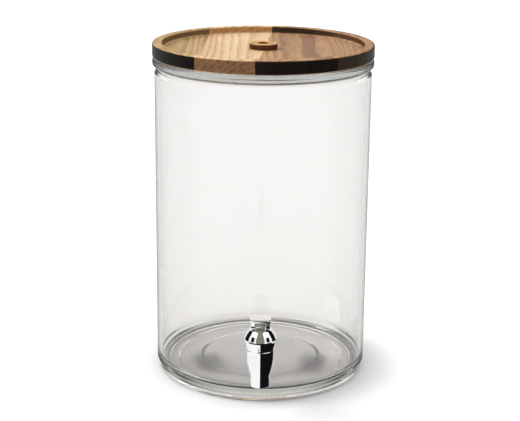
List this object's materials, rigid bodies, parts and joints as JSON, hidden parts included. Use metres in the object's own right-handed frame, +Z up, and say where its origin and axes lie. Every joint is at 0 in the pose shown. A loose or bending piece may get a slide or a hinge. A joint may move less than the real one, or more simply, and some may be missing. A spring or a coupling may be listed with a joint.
{
  "type": "countertop water dispenser",
  "caption": "Clear glass cylinder drinks dispenser with a turned wooden lid, a low round knob and a sprung chrome lever tap near its foot.",
  "frame": {"origin": "centre of the circle that the jar's foot ring stands on", "axes": "+Z up along the jar's axis; -Y towards the tap, which is the front; +X to the right seen from the front"},
  "size_m": [0.2252, 0.2666, 0.346],
  "materials": {
    "glass": "clear, polished",
    "lid_wood": "oiled, satin",
    "knob_wood": "oiled, satin",
    "silicone": "translucent, matt",
    "seal_rubber": "matt",
    "chrome": "polished plate",
    "steel": "satin"
  },
  "bodies": {
    "jar": {"glass_jar": "glass", "tap_body": "chrome", "tap_bonnet": "chrome", "front_washer": "silicone", "rear_washer": "silicone", "flat_washer": "steel", "shank_nut": "chrome", "spring_washer": "steel", "stem_seal": "seal_rubber", "stem_spring": "steel"},
    "lid": {"lid_stave_1": "lid_wood", "lid_stave_2": "lid_wood", "lid_stave_3": "lid_wood", "lid_stave_4": "lid_wood", "lid_gasket": "silicone", "lid_knob": "knob_wood", "knob_screw": "steel"},
    "stem": {"valve_stem": "chrome", "valve_seat_cup": "silicone", "lever_pin": "steel"},
    "lever": {"tap_lever": "chrome"}
  },
  "joints": [
    {"name": "lid_lift", "type": "slide", "parent": "jar", "child": "lid", "axis": [0, 0, 1], "range_m": [0, 0.06]},
    {"name": "stem_lift", "type": "slide", "parent": "jar", "child": "stem", "axis": [0, 0, 1], "range_m": [0, 0.0036], "stiffness_N_per_m": 300, "springref_m": -0.006, "deforming": ["stem_spring"]},
    {"name": "lever_tilt", "type": "hinge", "parent": "stem", "child": "lever", "pos_m": [0, -0.138, 0.0944], "axis": [1, 0, 0], "range_deg": [0, 55]}
  ],
  "couplings": [
    {"joint": "lever_tilt", "follows": "stem_lift", "rad_per_m": 266.64}
  ]
}
